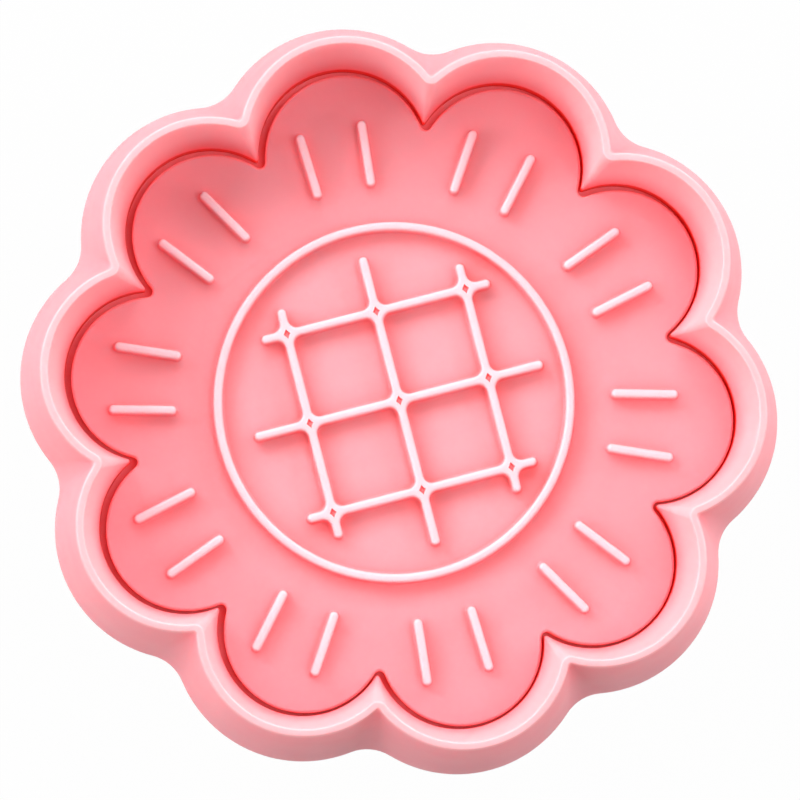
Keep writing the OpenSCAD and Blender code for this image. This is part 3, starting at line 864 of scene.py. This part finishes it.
def makeFinish(name, f, tones):  # the colour, gloss and grain of one finish
    material = bpy.data.materials.new(name)
    material.use_nodes = True
    tree = material.node_tree
    shader = tree.nodes["Principled BSDF"]
    tone = placeGroup(tree, toneGroup, {"Colour": f["colour"], "Mottle": f["mottle"], **tones})
    grain = placeGroup(tree, grainGroup, {"Grain Scale": f["grainScale"], "Gloss Scale": f["glossScale"],
                                          "Smooth": f["smooth"], "Rough": f["rough"]})
    bump = addNode(tree, "Bump")
    bump.inputs["Strength"].default_value = f["bump"]
    bump.inputs["Distance"].default_value = f["bumpDepth"]
    wire(tree, grain.outputs["Height"], bump.inputs["Height"])
    wire(tree, tone.outputs["Colour"], shader.inputs["Base Color"])
    wire(tree, grain.outputs["Roughness"], shader.inputs["Roughness"])
    wire(tree, bump.outputs["Normal"], shader.inputs["Normal"])
    return material, shader


def makePlastic(name, tones, depth):
    p = pinkPlastic
    # the dark red painted shade goes in with the tones
    material, shader = makeFinish(name, p, {"Painted Shade": p["paintedShade"], **tones})
    shader.inputs["IOR"].default_value = p["ior"]
    shader.inputs["Specular IOR Level"].default_value = p["shine"]
    shader.inputs["Subsurface Weight"].default_value = p["subsurface"]
    shader.inputs["Subsurface Radius"].default_value = p["subsurfaceRadius"]
    shader.inputs["Subsurface Scale"].default_value = depth
    return material


def makeSteel(name):
    material, shader = makeFinish(name, brightSteel, {"Pale": brightSteel["pale"]})
    shader.inputs["Metallic"].default_value = 1.0
    return material


def paintShadeInHollows(material):  # painted shade: a redder colour beside the ridges, where ambient occlusion finds shade
    h = stampHollowShade
    tree = material.node_tree
    target = tree.nodes["Principled BSDF"].inputs["Base Color"]
    aoShade = addNode(tree, "AmbientOcclusion", only_local=True, samples=h["samples"])
    aoShade.inputs["Distance"].default_value = h["reach"]
    mask = addNode(tree, "MapRange")
    wire(tree, aoShade.outputs["AO"], mask.inputs["Value"])
    mask.inputs["From Min"].default_value = h["open"]
    mask.inputs["From Max"].default_value = h["closed"]
    mix = addNode(tree, "Mix", data_type="RGBA")
    wire(tree, mask.outputs["Result"], mix.inputs["Factor"])
    wire(tree, target.links[0].from_socket, mix.inputs[colourA])
    mix.inputs[colourB].default_value = h["colour"]
    wire(tree, mix.outputs[colourOut], target)


def addGlow(material):  # a painted red glow in the gap, emitted from the plate's side
    tree = material.node_tree
    shader = tree.nodes["Principled BSDF"]
    glow = placeGroup(tree, glowGroup, stampGlow)
    wire(tree, glow.outputs["Glow"], shader.inputs["Emission Color"])
    shader.inputs["Emission Strength"].default_value = 1


cutterPink = makePlastic("cutterPink", cutterTonesAndPaintedLight, lightDepth["cutter"])
stampPink = makePlastic("stampPink", stampTonesAndPaintedLight, lightDepth["stamp"])
paintShadeInHollows(stampPink)
addGlow(stampPink)
knobPink = makePlastic("knobPink", knobTones, lightDepth["knob"])
screwSteel = makeSteel("screwSteel")
springSteel = makeSteel("springSteel")
print("materials made")


# each piece: material, body that it rides on, node that it stands for, slot of its finish
assembly = [
    (cutterShell, cutterPink, "cutter", "cutter_shell", "cutter_plastic"),
    (guideCollar, knobPink, "cutter", "guide_collar", "cutter_plastic"),
    (collarScrews, screwSteel, "cutter", "collar_screws", "screw_steel"),
    (returnSpring, springSteel, "cutter", "return_spring", "spring_steel"),
    (stampPlate, stampPink, "plunger", "stamp_plate", "stamp_plastic"),
    (plungerStem, knobPink, "plunger", "plunger_stem", "stamp_plastic"),
    (pushKnob, knobPink, "plunger", "push_knob", "knob_plastic"),
    (plungerScrew, screwSteel, "plunger", "plunger_screw", "screw_steel"),
    (screwWasher, screwSteel, "plunger", "screw_washer", "screw_steel"),
    (knobCap, knobPink, "plunger", "knob_cap", "knob_plastic"),
]
for piece, material, body, node, finish in assembly:
    piece.data.materials.clear()
    piece.data.materials.append(material)
    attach(piece, body)
    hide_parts(node)
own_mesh(returnSpring)
print("pieces seated on their bodies")


# floor, world and lamps
studio = {"floorSize": 4.0, "floorZ": -0.0001, "floorTone": 0.45, "floorWhite": 0.98,
          "skyTone": (1.0, 1.0, 1.0, 1), "sky": 0.01, "lampDistance": 0.6, "lampSize": 0.35}
lamps = [
    {"name": "lowLeftLamp", "plan": 212, "elevation": 15, "power": 1.0},
    {"name": "leftLamp", "plan": 167, "elevation": 28, "power": 1.65},
    {"name": "cornerLamp", "plan": 122, "elevation": 32, "power": 2.8},
    {"name": "topLamp", "plan": 77, "elevation": 42, "power": 1.4},
    {"name": "rightLamp", "plan": 32, "elevation": 15, "power": 1.6},
    {"name": "lowRightLamp", "plan": -13, "elevation": 15, "power": 1.45},
    {"name": "highLamp", "plan": -13, "elevation": 71, "power": 1.55},
]


def whiteForCamera(tree):  # camera, glossy and transmission rays see the white background
    path = addNode(tree, "LightPath")
    total = path.outputs["Is Camera Ray"]
    for label in ("Is Glossy Ray", "Is Transmission Ray"):
        add = addNode(tree, "Math", operation="MAXIMUM")
        wire(tree, total, add.inputs[0])
        wire(tree, path.outputs[label], add.inputs[1])
        total = add.outputs[0]
    return total


def makeFloor():
    bpy.ops.object.select_all(action="DESELECT")
    bpy.ops.mesh.primitive_plane_add(size=studio["floorSize"], location=(0, 0, studio["floorZ"]))
    floor = bpy.context.object
    floor.name = "studioFloor"
    material = bpy.data.materials.new("floorWhite")
    material.use_nodes = True
    tree = material.node_tree
    tree.nodes.clear()
    matt = addNode(tree, "BsdfDiffuse")
    matt.inputs["Color"].default_value = (*[studio["floorTone"]] * 3, 1)
    glow = addNode(tree, "Emission")
    share = addNode(tree, "Math", operation="MULTIPLY")
    wire(tree, whiteForCamera(tree), share.inputs[0])
    share.inputs[1].default_value = studio["floorWhite"]
    mix = addNode(tree, "MixShader")
    wire(tree, share.outputs[0], mix.inputs[0])
    wire(tree, matt.outputs[0], mix.inputs[1])
    wire(tree, glow.outputs[0], mix.inputs[2])
    wire(tree, mix.outputs[0], addNode(tree, "OutputMaterial").inputs["Surface"])
    floor.data.materials.append(material)


def makeWorld():
    world = bpy.data.worlds.new("studioSky")
    bpy.context.scene.world = world
    world.use_nodes = True
    tree = world.node_tree
    tree.nodes.clear()
    light = addNode(tree, "Background")
    light.inputs["Color"].default_value = studio["skyTone"]
    light.inputs["Strength"].default_value = studio["sky"]
    white = addNode(tree, "Background")
    white.inputs["Color"].default_value = (1, 1, 1, 1)
    mix = addNode(tree, "MixShader")
    wire(tree, whiteForCamera(tree), mix.inputs[0])
    wire(tree, light.outputs[0], mix.inputs[1])
    wire(tree, white.outputs[0], mix.inputs[2])
    wire(tree, mix.outputs[0], addNode(tree, "OutputWorld").inputs["Surface"])


def makeLamp(lamp):
    back = towards(lamp["plan"], lamp["elevation"])
    spot = Vector((0, 0, shot["aimHeight"] * mm)) + back * studio["lampDistance"]
    bpy.ops.object.light_add(type="AREA", location=spot)
    light = bpy.context.object
    light.name = lamp["name"]
    light.data.shape = "DISK"
    light.data.size = studio["lampSize"]
    light.data.energy = lamp["power"]
    light.visible_camera = False
    light.rotation_euler = back.to_track_quat("Z", "Y").to_euler()


makeFloor()
makeWorld()
for lamp in lamps:
    makeLamp(lamp)
print("studio lit")
